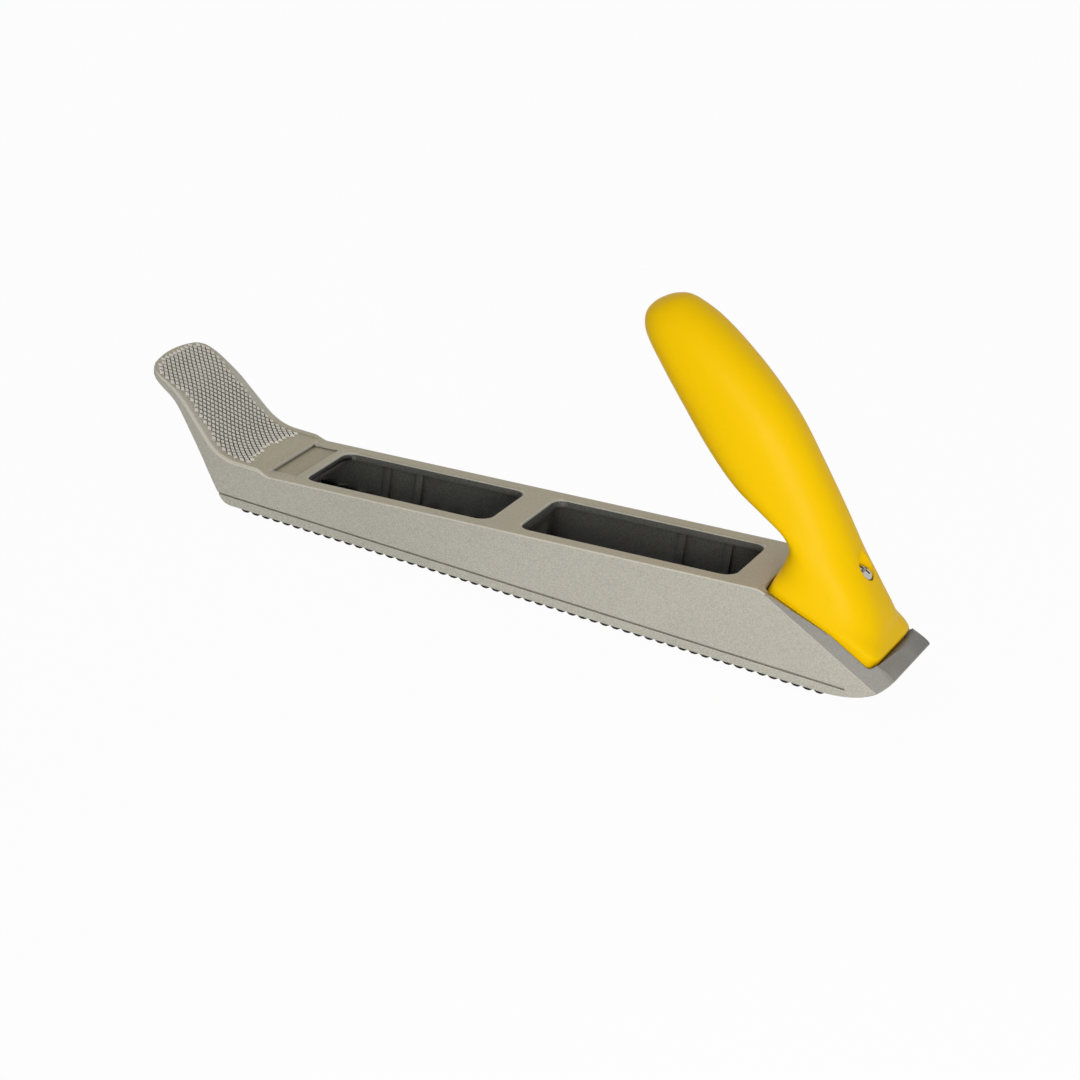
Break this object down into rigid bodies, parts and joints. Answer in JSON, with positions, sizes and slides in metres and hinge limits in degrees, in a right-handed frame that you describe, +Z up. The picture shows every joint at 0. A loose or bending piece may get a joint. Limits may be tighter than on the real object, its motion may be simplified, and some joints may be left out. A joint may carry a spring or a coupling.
{
  "type": "rasp plane",
  "caption": "Hand rasp plane: a cast body with windows over a perforated toothed blade, a knurled toe and a swept handle held by a screw.",
  "frame": {"origin": "centre of the overall length and width, at the height of the tooth tips", "axes": "+X from the toe to the heel and handle, +Y across the body to its far side, +Z up from the teeth"},
  "size_m": [0.2982, 0.045, 0.1187],
  "materials": {
    "casting": "warm grey lacquer over an as-cast surface",
    "blade": "blackened",
    "grip": "satin",
    "fasteners": "zinc plated"
  },
  "bodies": {
    "frame": {"body": "casting", "blade": "blade", "handle_nut": "fasteners", "tension_washer": "fasteners"},
    "grip": {"handle": "grip"},
    "screw_carrier": {"handle_washer": "fasteners"},
    "handle_screw": {"handle_screw": "fasteners"},
    "tension_screw": {"tension_screw": "fasteners", "tension_clip": "fasteners"},
    "hook": {"draw_hook": "fasteners", "tension_nut": "fasteners"}
  },
  "joints": [
    {"name": "handle_lift", "type": "slide", "parent": "frame", "child": "grip", "axis": [0.342, 0, 0.9397], "range_m": [0, 0.03]},
    {"name": "handle_screw_rise", "type": "slide", "parent": "grip", "child": "screw_carrier", "axis": [0.342, 0, 0.9397], "range_m": [0, 0.007]},
    {"name": "handle_screw_turn", "type": "hinge", "parent": "screw_carrier", "child": "handle_screw", "pos_m": [0.12038, 0, 0.02329], "axis": [0.342, 0, 0.9397], "range_deg": [0, 3600]},
    {"name": "tension_screw_turn", "type": "hinge", "parent": "frame", "child": "tension_screw", "pos_m": [-0.1094, 0, 0.0092], "axis": [-1, 0, 0], "range_deg": [0, 2160]},
    {"name": "hook_slide", "type": "slide", "parent": "frame", "child": "hook", "axis": [1, 0, 0], "range_m": [0, 0.0048]}
  ],
  "couplings": [
    {"joint": "handle_screw_turn", "follows": "handle_screw_rise", "rad_per_m": 8976},
    {"joint": "tension_screw_turn", "follows": "hook_slide", "rad_per_m": 7854}
  ]
}
